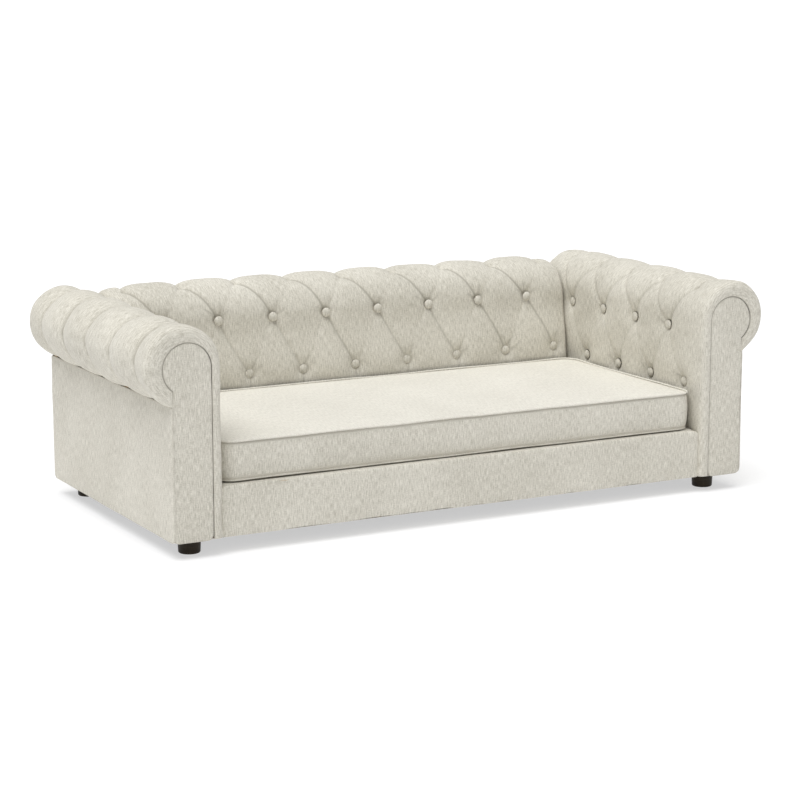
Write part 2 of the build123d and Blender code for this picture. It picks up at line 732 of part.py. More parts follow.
def zip_closure():
    """Zip along the cushion's rear edge, with a slider and a hinged pull."""
    z = (cushion_bottom + cushion_top) / 2
    half, y = zip_length / 2, cushion_rear
    coil_y = y + zip_tape_thickness
    save("zip_tape", block(-half, half, y, coil_y, z - zip_tape_width / 2, z + zip_tape_width / 2))
    coil_half, coil_top = half - zip_end_margin, coil_y + zip_coil_thickness
    coil = block(-coil_half, coil_half, coil_y, coil_top, z - zip_coil_width / 2, z + zip_coil_width / 2)
    save("zip_coil", coil)

    x = coil_half - slider_length
    roof = coil_top + seam_gap + slider_roof
    body = block(x - slider_length / 2, x + slider_length / 2, coil_y + seam_gap, roof,
                 z - slider_width / 2, z + slider_width / 2)
    channel_half = zip_coil_width / 2 + seam_gap
    channel = block(x - slider_length, x + slider_length, coil_y, coil_top + seam_gap,
                    z - channel_half, z + channel_half)
    pin_y = roof + slider_pin_height
    tab_half = pull_width / 2
    eye_half = tab_half - slider_lug - seam_gap
    lugs = []
    for side in (-1, 1):
        inside, outside = z + side * (eye_half + seam_gap), z + side * tab_half
        lugs.append(block(x - slider_lug_length / 2, x + slider_lug_length / 2, roof,
                          roof + slider_lug_height, min(inside, outside), max(inside, outside)))
    pin = rod((x, pin_y, z - tab_half), (x, pin_y, z + tab_half), slider_pin_radius)
    save("zip_slider", body.cut(channel).fuse(*lugs, pin))

    eye = rod((x, pin_y, z - eye_half), (x, pin_y, z + eye_half), pull_eye_radius)
    neck = block(x - pull_plate_start, x, pin_y - pull_thickness / 2, pin_y + pull_thickness / 2,
                 z - eye_half, z + eye_half)
    tab = block(x - pull_length, x - pull_plate_start, pin_y - pull_thickness / 2,
                pin_y + pull_thickness / 2, z - tab_half, z + tab_half)
    tab = fillet(tab.edges().filter_by(Axis.Y), pull_corner_radius)
    bore = rod((x, pin_y, z - tab_half), (x, pin_y, z + tab_half), slider_pin_radius + running_gap)
    save("zip_pull", eye.fuse(neck, tab).cut(bore))
    print("zip pull hinge at", x, pin_y, z)


os.makedirs("parts", exist_ok=True)
base()
arms()
back_rest()
feet()
cushion()
zip_closure()
print("back crown plane", back_crown, "cushion", cushion_bottom, cushion_top, cushion_half)
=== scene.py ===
"""Looks of the dog sofa bed: rolled, diamond-tufted arms and back in an oatmeal woven fabric,
a loose piped cushion on a covered base, and four dark wooden feet. Metres, in the part's frame.
"""

import json
from math import cos, pi, radians, sin

import bpy
import numpy as np
from mathutils.geometry import delaunay_2d_cdt
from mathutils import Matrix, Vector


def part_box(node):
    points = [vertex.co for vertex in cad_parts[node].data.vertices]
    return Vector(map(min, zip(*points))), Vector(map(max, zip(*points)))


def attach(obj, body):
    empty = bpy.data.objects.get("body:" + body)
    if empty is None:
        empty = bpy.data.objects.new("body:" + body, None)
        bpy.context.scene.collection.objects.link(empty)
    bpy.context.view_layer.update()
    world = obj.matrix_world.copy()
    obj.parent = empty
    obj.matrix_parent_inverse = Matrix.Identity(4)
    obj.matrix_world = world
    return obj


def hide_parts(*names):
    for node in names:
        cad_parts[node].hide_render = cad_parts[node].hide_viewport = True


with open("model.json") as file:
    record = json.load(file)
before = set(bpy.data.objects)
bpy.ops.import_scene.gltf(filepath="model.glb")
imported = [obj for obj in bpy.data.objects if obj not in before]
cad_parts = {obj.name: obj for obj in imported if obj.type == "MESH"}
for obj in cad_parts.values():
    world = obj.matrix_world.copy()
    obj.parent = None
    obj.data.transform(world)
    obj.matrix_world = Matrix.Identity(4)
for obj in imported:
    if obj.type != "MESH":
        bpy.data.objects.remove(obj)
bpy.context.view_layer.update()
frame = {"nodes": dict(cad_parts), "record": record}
scene = bpy.context.scene

# Camera at the photograph's place: from the front left, a little above the sofa, with a long lens
# that looks slightly down.
camera_place, camera_pitch, camera_yaw = (-1.9744, -3.7063, 0.9793), 10.961, 28.222
camera = bpy.data.objects.new("camera", bpy.data.cameras.new("camera"))
scene.collection.objects.link(camera)
camera.location = camera_place
camera.rotation_euler = (radians(90 - camera_pitch), 0, radians(-camera_yaw))
camera.data.lens = 104.58
camera.data.sensor_width = 36
scene.camera = camera
scene.view_settings.view_transform = "Standard"

# Studio: a pale floor that goes white under a wide soft light, which comes from high up on the front
# left, with plain white all round. None of it is part of the sofa.
def fresh_material(name, rough, specular):
    """A new material, with its node tree and its shader."""
    material = bpy.data.materials.new(name)
    material.use_nodes = True
    shader = material.node_tree.nodes["Principled BSDF"]
    shader.inputs["Roughness"].default_value = rough
    shader.inputs["Specular IOR Level"].default_value = specular
    return material, material.node_tree, shader


floor_half = 60.0
floor_mesh = bpy.data.meshes.new("floor")
floor_mesh.from_pydata([(x * floor_half, y * floor_half, 0)
                        for x, y in ((-1, -1), (1, -1), (1, 1), (-1, 1))], [], [(0, 1, 2, 3)])
floor = bpy.data.objects.new("floor", floor_mesh)
scene.collection.objects.link(floor)
floor_material, _, floor_shader = fresh_material("studio_floor", rough=1, specular=0)
floor_shader.inputs["Base Color"].default_value = (0.52, 0.52, 0.525, 1)
floor_shader.inputs["Emission Color"].default_value = (1, 1, 1, 1)
floor_shader.inputs["Emission Strength"].default_value = 0.54
floor_mesh.materials.append(floor_material)

light_spread, light_tilt, light_lean = 50, 8, -16
light = bpy.data.lights.new("soft_light", "SUN")
light.energy = 2.5
light.angle = radians(light_spread)
lamp = bpy.data.objects.new("soft_light", light)
scene.collection.objects.link(lamp)
lamp.rotation_euler = (radians(light_tilt), radians(light_lean), 0)

world = bpy.data.worlds.new("studio")
scene.world = world
world.use_nodes = True
sky = world.node_tree
sky.nodes.clear()
seen, lit = sky.nodes.new("ShaderNodeBackground"), sky.nodes.new("ShaderNodeBackground")
seen.inputs["Strength"].default_value = 1.0
seen.inputs["Color"].default_value = (1, 1, 1, 1)
lit.inputs["Strength"].default_value = 0.40
lit.inputs["Color"].default_value = (1, 1, 1, 1)
path, choose = sky.nodes.new("ShaderNodeLightPath"), sky.nodes.new("ShaderNodeMixShader")
sky_out = sky.nodes.new("ShaderNodeOutputWorld")
sky.links.new(path.outputs["Is Camera Ray"], choose.inputs[0])
sky.links.new(lit.outputs[0], choose.inputs[1])
sky.links.new(seen.outputs[0], choose.inputs[2])
sky.links.new(choose.outputs[0], sky_out.inputs["Surface"])


# Arm pads: foam under an oatmeal woven fabric, pulled in by buttons in two staggered rows. Folded
# pleats join the buttons in diamonds and run on over the roll; both ends turn in to a seam.
def streaks(tree, coordinates, scale, detail, rough=0.5):
    """Noise over the given coordinates, drawn out into streaks where its scales differ."""
    stretch = tree.nodes.new("ShaderNodeMapping")
    stretch.inputs["Scale"].default_value = scale
    noise = tree.nodes.new("ShaderNodeTexNoise")
    noise.inputs["Scale"].default_value = 1
    noise.inputs["Detail"].default_value = detail
    noise.inputs["Roughness"].default_value = rough
    tree.links.new(coordinates, stretch.inputs["Vector"])
    tree.links.new(stretch.outputs["Vector"], noise.inputs["Vector"])
    return noise.outputs["Fac"]


def blend(tree, a, b, share):
    """Two shades of grey mixed, with this share of the second."""
    mix = tree.nodes.new("ShaderNodeMix")
    mix.inputs[0].default_value = share
    tree.links.new(a, mix.inputs[2])
    tree.links.new(b, mix.inputs[3])
    return mix.outputs[0]


def two_tones(tree, grey, dark, light, low, high):
    """The dark colour where the grey is below low, the light one where it is above high."""
    ramp = tree.nodes.new("ShaderNodeValToRGB")
    ramp.color_ramp.elements[0].position, ramp.color_ramp.elements[1].position = low, high
    ramp.color_ramp.elements[0].color = (*dark, 1)
    ramp.color_ramp.elements[1].color = (*light, 1)
    tree.links.new(grey, ramp.inputs["Fac"])
    return ramp.outputs["Color"]


def raised(tree, shader, grey, strength, distance):
    """Fine relief on the surface, high where the grey is light."""
    relief = tree.nodes.new("ShaderNodeBump")
    relief.inputs["Strength"].default_value = strength
    relief.inputs["Distance"].default_value = distance
    tree.links.new(grey, relief.inputs["Height"])
    tree.links.new(relief.outputs["Normal"], shader.inputs["Normal"])


def woven(name, light, dark, slub=(600.0, 75.0), bump=0.55, painted_shade_tone=0.8):
    """Plain weave with slubs: streaks along the warp, weaker ones across, flecks and a faint tone, and
    painted shade at seams, folds and button rims, read from the mesh.

    The scales are about the repeats in a metre of cloth, across the warp and along it.
    """
    material, tree, shader = fresh_material(name, rough=0.92, specular=0.2)
    shader.inputs["Sheen Weight"].default_value = 0.12
    shader.inputs["Sheen Roughness"].default_value = 0.6
    cloth = tree.nodes.new("ShaderNodeTexCoord").outputs["UV"]
    warp = streaks(tree, cloth, (*slub, 1), detail=3, rough=0.65)
    weft = streaks(tree, cloth, (slub[1] * 2.2, slub[0] * 1.6, 1), detail=1)
    fleck = streaks(tree, cloth, (1500, 600, 1), detail=0)
    tone = streaks(tree, cloth, (7, 5, 1), detail=2)
    threads = blend(tree, blend(tree, warp, weft, share=0.28), fleck, share=0.12)
    colour = two_tones(tree, blend(tree, threads, tone, share=0.14), dark, light, low=0.37, high=0.60)
    # painted shade: the colour goes toward a deeper copy of the dark tone where the mesh marks seams, folds
    # and button rims
    painted_shade = tree.nodes.new("ShaderNodeAttribute")
    painted_shade.attribute_name = "painted_shade"
    darker = tree.nodes.new("ShaderNodeMix")
    darker.data_type = "RGBA"
    darker.inputs["B"].default_value = (*[c * painted_shade_tone for c in dark], 1)
    tree.links.new(painted_shade.outputs["Fac"], darker.inputs["Factor"])
    tree.links.new(colour, darker.inputs["A"])
    tree.links.new(darker.outputs["Result"], shader.inputs["Base Color"])
    raised(tree, shader, threads, strength=bump, distance=0.0007)
    return material


def cloth_object(name, points, faces, flat, material, painted_shade=None):
    """A smooth mesh with the flat cloth's coordinates, in metres, and how much painted shade lies on each
    point.
    """
    mesh = bpy.data.meshes.new(name)
    mesh.from_pydata(np.asarray(points).tolist(), [], faces)
    corners = np.empty(len(mesh.loops), int)
    mesh.loops.foreach_get("vertex_index", corners)
    mesh.uv_layers.new(name="cloth").data.foreach_set("uv", np.asarray(flat)[corners].ravel())
    mesh.polygons.foreach_set("use_smooth", np.ones(len(mesh.polygons), bool))
    if painted_shade is not None:
        mesh.attributes.new("painted_shade", "FLOAT", "POINT").data.foreach_set("value", painted_shade)
    mesh.materials.append(material)
    piece = bpy.data.objects.new(name, mesh)
    scene.collection.objects.link(piece)
    return piece


def dress(piece, body, solid):
    """Every stuffed piece is attached to its body, and the solid it stands for is hidden."""
    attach(piece, body)
    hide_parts(solid)


def grid_faces(rows, columns, turned):
    """Quads of a grid whose points are numbered along its rows."""
    k = (np.arange(rows - 1)[:, None] * columns + np.arange(columns - 1)).ravel()
    quads = np.column_stack((k, k + 1, k + columns + 1, k + columns))
    return (quads[:, ::-1] if turned else quads).tolist()


def along(line):
    """Distance of each point from the start of a line."""
    return np.concatenate(([0], np.cumsum(np.linalg.norm(np.diff(line, axis=0), axis=1))))


def evenly(line, step):
    """The same line with its points a step apart."""
    place = along(line)
    even = np.linspace(0, place[-1], int(place[-1] / step) + 1)
    return np.column_stack([np.interp(even, place, line[:, k]) for k in (0, 1)])


def ring(centre, radius, start, end, count=120):
    """Points along an arc, from the start angle to the end angle in degrees."""
    angle = np.radians(np.linspace(start, end, count))
    return np.column_stack((centre[0] + radius * np.cos(angle), centre[1] + radius * np.sin(angle)))


def ripple(x, y, rng, length, height, waves=7):
    """Low, even unevenness: a few waves in random directions."""
    total = np.zeros(np.broadcast(x, y).shape)
    for turn, phase, stretch in zip(rng.uniform(0, 2 * pi, waves), rng.uniform(0, 2 * pi, waves),
                                    rng.uniform(0.6, 1.7, waves)):
        total += np.sin((x * cos(turn) + y * sin(turn)) * 2 * pi / (length * stretch) + phase)
    return total * height / waves ** 0.5


def drawn_in(distance, reach, crease, soft=0.5):
    """How far a button or pleat draws the cloth in: 1 on it, and next to nothing beyond its reach."""
    distance = np.maximum(distance, 0)
    broad = 1 - np.sin(pi / 2 * np.clip(distance / reach, 0, 1))
    return soft * broad + (1 - soft) * np.exp(-distance / crease)


# a button's pit, and the painted shade in a ring round the button where the cloth is pressed in
pit_floor, pit_reach, pit_crease, pit_softness = 0.006, 0.036, 0.008, 0.35
rim_shade, rim_radius, rim_width = 0.55, 0.0092, 0.0014
# a pleat's steep and gentle side, the width of the painted shade along it on the steep side,
# and how unequal the pleats are
steep_crease, gentle_crease, near_shade = 0.0022, 0.0075, 0.0012
pleat_sway, pleat_depth_spread, blend_sharpness = 0.004, (0.8, 1.15), 5


def tuft_depth(s, t, buttons, pleats, rng, reach=0.040, fullness=0.5, far_shade=0.0030):
    """Depth of every grid point under the plain outline, and how much it lies in a fold's shade.

    s runs up the pad's outline and t along the pad. A button is its place and depth; a pleat is two
    such places, its depth half-way and how dark the painted shade along its line is.
    """
    s, t = s[:, None], t[None, :]
    total, shade = np.zeros((2, s.shape[0], t.shape[1]))
    for s0, t0, depth in buttons:
        from_button = np.hypot(s - s0, t - t0)
        pit = drawn_in(from_button - pit_floor, pit_reach, pit_crease, pit_softness)
        total += (depth * pit) ** blend_sharpness
        # painted shade in a ring round the button, where the cloth is pressed in
        shade = np.maximum(shade, rim_shade * np.exp(-((from_button - rim_radius) / rim_width) ** 2))
    for start, end, middle, line in pleats:
        # the puff above a fold, or before it along the roll, laps over it: that side is steeper
        (s0, t0, d0), (s1, t1, d1) = (start, end) if start[1] <= end[1] else (end, start)
        length = np.hypot(s1 - s0, t1 - t0)
        run = np.clip(((s - s0) * (s1 - s0) + (t - t0) * (t1 - t0)) / length ** 2, 0, 1)
        sway = rng.uniform(-pleat_sway, pleat_sway) * np.sin(pi * run)
        side = ((s - s0) * (t1 - t0) - (t - t0) * (s1 - s0)) / length - sway
        beyond = np.hypot(s - s0 - run * (s1 - s0), t - t0 - run * (t1 - t0))
        distance = np.where(run % 1 > 0, np.abs(side), beyond)
        depth = (d0 * (1 - run) + d1 * run) * (1 - 2 * run) ** 2 + middle * 4 * run * (1 - run)
        depth = depth * rng.uniform(*pleat_depth_spread)
        crease = np.where(side > 0, steep_crease, gentle_crease)
        total += (depth * drawn_in(distance, reach, crease, fullness)) ** blend_sharpness
        # painted shade along the fold's line: narrow on the steep side, wider on the gentle side that the
        # puff laps over
        width = np.where(side > 0, near_shade, far_shade)
        shade = np.maximum(shade, line * np.exp(-(distance / width) ** 2))
    return total ** (1 / blend_sharpness), shade


# how wide and how unevenly short folds fan out, how long they are, and how dark the painted shade along
# them is
fan_half, fan_sway, short_fold_lengths, short_fold_shade_lines = 0.9, 0.2, (0.018, 0.034), (0.2, 0.6)
# shares of the button's depth at a short fold's start and half-way
short_fold_shares = (0.7, 0.16)


def short_folds(s0, t0, depth, rng, count=4):
    """Small folds that fan out above a button where the cloth is gathered under it."""
    made = []
    for lean in np.linspace(-fan_half, fan_half, count) + rng.uniform(-fan_sway, fan_sway, count):
        length = rng.uniform(*short_fold_lengths)
        tip = (s0 + length * cos(lean), t0 + length * sin(lean), 0.0)
        start_depth, middle_depth = depth * short_fold_shares[0], depth * short_fold_shares[1]
        made.append(((s0, t0, start_depth), tip, middle_depth, rng.uniform(*short_fold_shade_lines)))
    return made


# the degrees by which a lip turns in, and the share of its way after which its seam is painted in
# shade; how strongly the folds' painted shade shows on the pad
lip_turn, lip_steps = 130, 15
seam_shade_start, seam_shade_run, fold_shade_tone = 0.93, 0.07, 0.85


def slab_points(outline, seam_line, t, depth, shade, lips, cap=None):
    """A pad's points (u, t, z): the tufted face and roll, closed at both ends by a rounded lip.

    A lip is how far it bulges past the last place in t and how far its seam lies past it; a cap is
    the line to which the cloth runs on inside the seam, where no facing closes the end.
    """
    tangent = np.gradient(outline, axis=0)
    tangent /= np.linalg.norm(tangent, axis=1)[:, None]
    outward = np.column_stack((-tangent[:, 1], tangent[:, 0]))
    body = outline[:, None, :] - outward[:, None, :] * depth[:, :, None]
    columns, places = [body[:, k] for k in range(len(t))], list(t)
    painted_shades = [shade[:, k] * fold_shade_tone for k in range(len(t))]
    for at_start, (bulge, seam_reach) in ((True, lips[0]), (False, lips[1])):
        edge = columns[0] if at_start else columns[-1]
        start, way = (places[0], -1) if at_start else (places[-1], 1)
        added = []
        for turn in np.linspace(0, lip_turn, lip_steps)[1:]:
            share = (1 - cos(radians(turn))) / (1 - cos(radians(lip_turn)))
            back = max(0, turn - 90) / (lip_turn - 90)
            reach = bulge * sin(radians(min(turn, 90))) + (seam_reach - bulge) * back ** 2
            painted_shade = np.full(len(outline), max(0, share - seam_shade_start) / seam_shade_run)
            added.append((edge * (1 - share) + seam_line * share, start + way * reach, painted_shade))
        if cap is not None:
            added.append((cap, added[-1][1], np.zeros(len(outline))))
        for column, place, painted_shade in added:
            where = 0 if at_start else len(columns)
            columns.insert(where, column)
            places.insert(where, place)
            painted_shades.insert(where, painted_shade)
    points = np.empty((len(outline), len(columns), 3))
    for k, (column, place) in enumerate(zip(columns, places)):
        points[:, k, 0], points[:, k, 1], points[:, k, 2] = column[:, 0], place, column[:, 1]
    return points, np.column_stack(painted_shades)


def pad_object(name, points, painted_shades, material, to_place, turned):
    """The pad as a piece; the cloth's own coordinates follow one row and one column of it."""
    rows, columns = points.shape[:2]
    flat = np.stack(np.meshgrid(along(points[rows // 3]), along(points[:, columns // 2])), axis=-1)
    placed = to_place(points.reshape(-1, 3))
    return cloth_object(name, placed, grid_faces(rows, columns, turned), flat.reshape(-1, 2),
                        material, painted_shades.ravel())


tuck, tuck_rise = 0.012, 0.004


def tucked(line, foot_tuck):
    """The line with the cloth's ends: under the base at its foot and into the neck at its top."""
    return np.vstack((line[0] + (foot_tuck, 0), line, line[-1] + (-tuck, tuck_rise)))


def ends_doubled(field):
    """A field over the grid with its first and last row repeated, for the tucked ends."""
    return np.vstack((field[0], field, field[-1]))


oatmeal = woven("oatmeal_weave", light=(0.790, 0.762, 0.680), dark=(0.458, 0.433, 0.362))

# Sizes of an arm: u runs outward from its inner face and z up. The outline is the cloth's, and the
# board behind the foam gives the line of the seam at both ends.
grid_step = 0.0023
front = -0.305
arm_inner = 0.476
arm_foot, arm_centre, arm_radius, arm_neck_angle = 0.0311, (0.067, 0.321), 0.067, -73.3
arm_face_pad, board_centre, board_radius, board_neck_angle = 0.0175, (0.0605, 0.317), 0.043, -53.8
board_neck = (0.0859, 0.258)
lip_depth, front_seam_reach, rear_seam_reach, arm_rear = 0.012, 0.0102, 0.0103, 0.2572
arm_low_row, arm_up_row, arm_sink = 0.197, 0.296, 0.0125
tuft_pitch, arm_first_tuft = 0.110, 0.070

face = np.array([(0, arm_foot), (0, arm_centre[1])])
arm_outline = evenly(np.vstack((face, ring(arm_centre, arm_radius, 180, arm_neck_angle)[1:])), grid_step)
arm_s = along(arm_outline)
shoulder = arm_centre[1] - arm_foot
seam_face = np.array([(arm_face_pad, arm_foot), (arm_face_pad, board_centre[1])])
head = ring(board_centre, board_radius, 180, 0)
under = np.vstack((ring(board_centre, board_radius, 0, board_neck_angle), [board_neck]))
outer_marks = [0, shoulder, shoulder + arm_radius * pi, arm_s[-1]]
seam_u, seam_z = np.zeros(len(arm_s)), np.zeros(len(arm_s))
for k, line in enumerate((seam_face, head, under)):
    chosen = (arm_s >= outer_marks[k]) & (arm_s <= outer_marks[k + 1])
    share = (arm_s[chosen] - outer_marks[k]) / (outer_marks[k + 1] - outer_marks[k])
    place = along(line)
    seam_u[chosen] = np.interp(share * place[-1], place, line[:, 0])
    seam_z[chosen] = np.interp(share * place[-1], place, line[:, 1])
arm_outline = tucked(arm_outline, tuck)
arm_seam = tucked(np.column_stack((seam_u, seam_z)), tuck / 2)

low_t = [front + arm_first_tuft + k * tuft_pitch for k in range(4)]
up_t = [place + tuft_pitch / 2 for place in low_t]
crease_t = low_t + [low_t[-1] + tuft_pitch]
low_s, up_s = arm_low_row - arm_foot, arm_up_row - arm_foot
fold_turn = 55
fold_s = shoulder + radians(fold_turn) * arm_radius
# how dark the painted shade along each crease over the roll is
crease_shade_lines = (1.0, 0.6, 0.65, 1.0, 0.5)
outer_s = shoulder + pi * arm_radius
# a pleat's depth half-way and how dark the painted shade along its line is
forward_pleat, rearward_pleat, foot_pleat, foot_depth = (0.0018, 0.1), (0.0012, 0.1), (0.0015, 0.3), 0.001
roll_pleats = ((0.0060, 0.3), (0.0060, 0.2))
crease_bends, side_depth_share, end_depth_share = (0.004, 0.009), 0.6, 0.5
arm_pleat_reach, arm_wave_length, arm_wave_height = 0.050, 0.08, 0.0009
end_fall, end_fall_run, fall_top_run = 0.010, 0.055, 0.06
rear_lip_low, roll_start, roll_blend = 0.0135, 0.010, 0.060
arm_t = np.linspace(front + lip_depth, arm_rear - lip_depth,
                    int((arm_rear - front - 2 * lip_depth) / grid_step))
for side, sign in (("right", 1), ("left", -1)):
    rng = np.random.default_rng(seed=11 if sign > 0 else 12)
    # the left arm's roll was pleated deeper than the right one's
    arm_valley, rear_lip_depth = (0.0110, 0.016) if sign > 0 else (0.0180, 0.030)
    # the left arm's folds are also fuller and take a wider painted shade on their far side
    fullness, far_shade = (0.5, 0.0030) if sign > 0 else (0.70, 0.0058)
    buttons = [(low_s, t, arm_sink) for t in low_t] + [(up_s, t, arm_sink) for t in up_t]
    pleats = []
    for button in buttons:
        pleats += short_folds(*button, rng, count=3)
    for k, t in enumerate(low_t):
        pleats.append(((low_s, t, arm_sink), (up_s, up_t[k], arm_sink), *rearward_pleat))
        pleats.append(((0, t, foot_depth), (low_s, t, arm_sink), *foot_pleat))
        if k:
            pleats.append(((low_s, t, arm_sink), (up_s, up_t[k - 1], arm_sink), *forward_pleat))
        for fold_t, roll_pleat in zip((t, t + tuft_pitch), roll_pleats):
            pleats.append(((up_s, up_t[k], arm_sink), (fold_s, fold_t, arm_valley), *roll_pleat))
    for t, line in zip(crease_t, crease_shade_lines):
        side_depth = arm_valley * side_depth_share
        end = (arm_s[-1], t - rng.uniform(*crease_bends), side_depth * end_depth_share)
        pleats.append(((fold_s, t, arm_valley), (outer_s, t, side_depth), arm_valley, line))
        pleats.append(((outer_s, t, side_depth), end, side_depth, line))
    depth, shade = tuft_depth(arm_s, arm_t, buttons, pleats, rng, arm_pleat_reach, fullness, far_shade)
    depth += ripple(arm_s[:, None], arm_t[None, :], rng, arm_wave_length, arm_wave_height)
    # past the last pleat the roll falls off to its rear end
    fall = np.clip((arm_t - (arm_rear - end_fall_run)) / end_fall_run, 0, 1)
    over_top = np.clip((arm_s - shoulder) / fall_top_run, 0, 1)
    depth += end_fall * (1 - np.sqrt(1 - fall ** 2))[None, :] * over_top[:, None]
    # at the rear only the roll bulges; below it the lip stays flush with the panel over the back
    over_roll = np.clip((along(arm_outline) - shoulder - roll_start) / roll_blend, 0, 1)
    rear_bulge = rear_lip_low + (rear_lip_depth - rear_lip_low) * over_roll ** 2 * (3 - 2 * over_roll)
    points, painted_shades = slab_points(arm_outline, arm_seam, arm_t, ends_doubled(depth), ends_doubled(shade),
                                ((lip_depth, front_seam_reach), (rear_bulge, rear_seam_reach)))
    pad = pad_object(side + "_arm_cushioning", points, painted_shades, oatmeal,
                     lambda p, sign=sign: np.column_stack((sign * (arm_inner + p[:, 0]), p[:, 1], p[:, 2])),
                     turned=sign < 0)
    dress(pad, "frame", solid=side + "_arm_pad")

# Back pad: the same foam and fabric between the arms, tufted in the same diamonds with nine lower
# and eight upper buttons, leaning back a little, with a larger roll that is closed at both ends.
back_crown, back_half, back_foot = 0.145, 0.4744, 0.1153
back_centre, back_radius, back_neck_angle = (0.088, 0.308), 0.072, -70.4
back_board_centre, back_board_radius, back_board_neck = (0.0805, 0.316), 0.041, -40.0
back_low_row, back_up_row, back_sink, back_valley, back_lean = 0.210, 0.311, 0.0095, 0.0130, 0.013
back_board_face, back_neck_run, back_neck_low = 0.0395, 0.0035, 0.2385
back_lip, back_seam_reach = 0.0128, 0.0124
# how far behind back_crown the face lies at some heights, rounded off between them
lean_heights = (back_foot, 0.140, 0.170, 0.200, 0.225, 0.250, 0.275, 0.295, back_centre[1])
lean_depths = (0.030, 0.016, -0.001, -0.004, -0.001, 0.005, 0.0125, 0.0158, 0.016)
rounding_span = 6
rise = np.linspace(back_foot, back_centre[1], 80)
lean = np.pad(np.interp(rise, lean_heights, lean_depths), rounding_span, "edge")
smoothing = np.ones(2 * rounding_span + 1) / (2 * rounding_span + 1)
lean = np.convolve(lean, smoothing, "valid")
back_outline = evenly(np.vstack((np.column_stack((lean, rise)),
                                 ring(back_centre, back_radius, 180, back_neck_angle)[1:])), grid_step)
back_s = along(back_outline)
upright = int(np.argmax(back_outline[:, 1] >= back_centre[1]))
back_shoulder = float(back_s[upright])
board = np.vstack(([(back_board_face, back_foot), (back_board_face, back_board_centre[1])],
                   ring(back_board_centre, back_board_radius, 180, back_board_neck)))
board = np.vstack((board, [(board[-1][0] + back_neck_run, back_neck_low)]))
board_s = along(board)
back_seam = np.column_stack([np.interp(back_s / back_s[-1] * board_s[-1], board_s, board[:, k])
                             for k in (0, 1)])
back_low_s = float(np.interp(back_low_row, back_outline[:upright - 1, 1], back_s[:upright - 1]))
back_up_rise, back_fold_turn = 0.004, 74
back_up_s = back_shoulder + back_up_rise
back_fold_s = back_shoulder + radians(back_fold_turn) * back_radius
back_outer_s = back_shoulder + pi * back_radius
back_outline = tucked(back_outline, tuck)
back_seam = tucked(back_seam, tuck / 2)
back_low_t = [k * tuft_pitch for k in range(-4, 5)]
back_up_t = [t + tuft_pitch / 2 for t in back_low_t[:-1]]
# a pleat's depth half-way and how dark the painted shade along its line is
back_foot_pleat, back_foot_depth, outer_depth, outer_pleat = (0.002, 0.35), 0.002, 0.003, (0.006, 0.5)
faint_low_pleat, faint_roll_pleat, pressed_roll_pleat = (0.0005, 0.0), (0.0010, 0.0), (0.0040, 0.95)
pressed_low_depth, pressed_low_shade_lines, crest_shade_line, outer_share = 0.0026, (0.2, 0.9), 0.6, 0.7
back_wave_length, back_wave_height = 0.10, 0.0010
end_inset, face_fall, top_fall, top_fall_run = 0.050, 0.008, 0.012, 0.05
rng = np.random.default_rng(seed=21)
back_t = np.linspace(-back_half + lip_depth, back_half - lip_depth,
                     int((2 * back_half - 2 * lip_depth) / grid_step))
buttons = [(back_low_s, t, back_sink) for t in back_low_t] + [(back_up_s, t, back_sink) for t in back_up_t]
pleats = []
for button in buttons:
    pleats += short_folds(*button, rng)
for k, t in enumerate(back_low_t):
    pleats.append(((0, t, back_foot_depth), (back_low_s, t, back_sink), *back_foot_pleat))
    for up in back_up_t[max(0, k - 1):k + 1]:
        # the folds that run down to the right are the ones that were pressed in hard
        falls_right = up < t
        pressed_low_pleat = (pressed_low_depth, rng.uniform(*pressed_low_shade_lines))
        pleats.append(((back_low_s, t, back_sink), (back_up_s, up, back_sink),
                       *(pressed_low_pleat if falls_right else faint_low_pleat)))
        pleats.append(((back_up_s, up, back_sink), (back_fold_s, t, back_valley),
                       *(faint_roll_pleat if falls_right else pressed_roll_pleat)))
    outer_place = (back_outer_s, t, back_valley * outer_share)
    pleats.append(((back_fold_s, t, back_valley), outer_place, back_valley, crest_shade_line))
    pleats.append((outer_place, (back_s[-1], t, outer_depth), *outer_pleat))
depth, shade = tuft_depth(back_s, back_t, buttons, pleats, rng)
depth += ripple(back_s[:, None], back_t[None, :], rng, back_wave_length, back_wave_height)
# the face and, more so, the roll fall off towards the arms
near_end = np.clip((np.abs(back_t) - (back_half - end_inset)) / end_inset, 0, 1)
over_top = np.clip((back_s - back_shoulder) / top_fall_run, 0, 1)
depth += (face_fall + top_fall * over_top[:, None]) * (1 - np.sqrt(1 - near_end ** 2))[None, :]
back_cap = np.column_stack((np.full(len(back_seam), back_board_centre[0]),
                            np.minimum(back_seam[:, 1], back_board_centre[1])))
points, painted_shades = slab_points(back_outline, back_seam, back_t, ends_doubled(depth), ends_doubled(shade),
                            ((back_lip, back_seam_reach),) * 2, back_cap)
back_pad = pad_object("back_cushioning", points, painted_shades, oatmeal,
                      lambda p: np.column_stack((p[:, 1], back_crown + p[:, 0], p[:, 2])), turned=True)
dress(back_pad, "frame", solid="back_pad")

# Covered buttons: metal domes dressed in the same fabric, gathered a little at the rim, each pulled
# down into its pit by a tie.
button_radius, button_dome, button_seat = 0.00875, 0.0031, 0.0046
button_turns, gathers, gather_height, button_tilt = 28, 7, 0.018, 0.05
# shares of the button's radius and of its dome's height, from the middle to the rim's underside
button_profile_shares = [(0.0, 1.0), (0.28, 0.955), (0.52, 0.83), (0.72, 0.62), (0.88, 0.34),
                         (0.97, 0.10), (1.0, -0.12), (0.93, -0.42), (0.72, -0.75), (0.4, -0.95)]


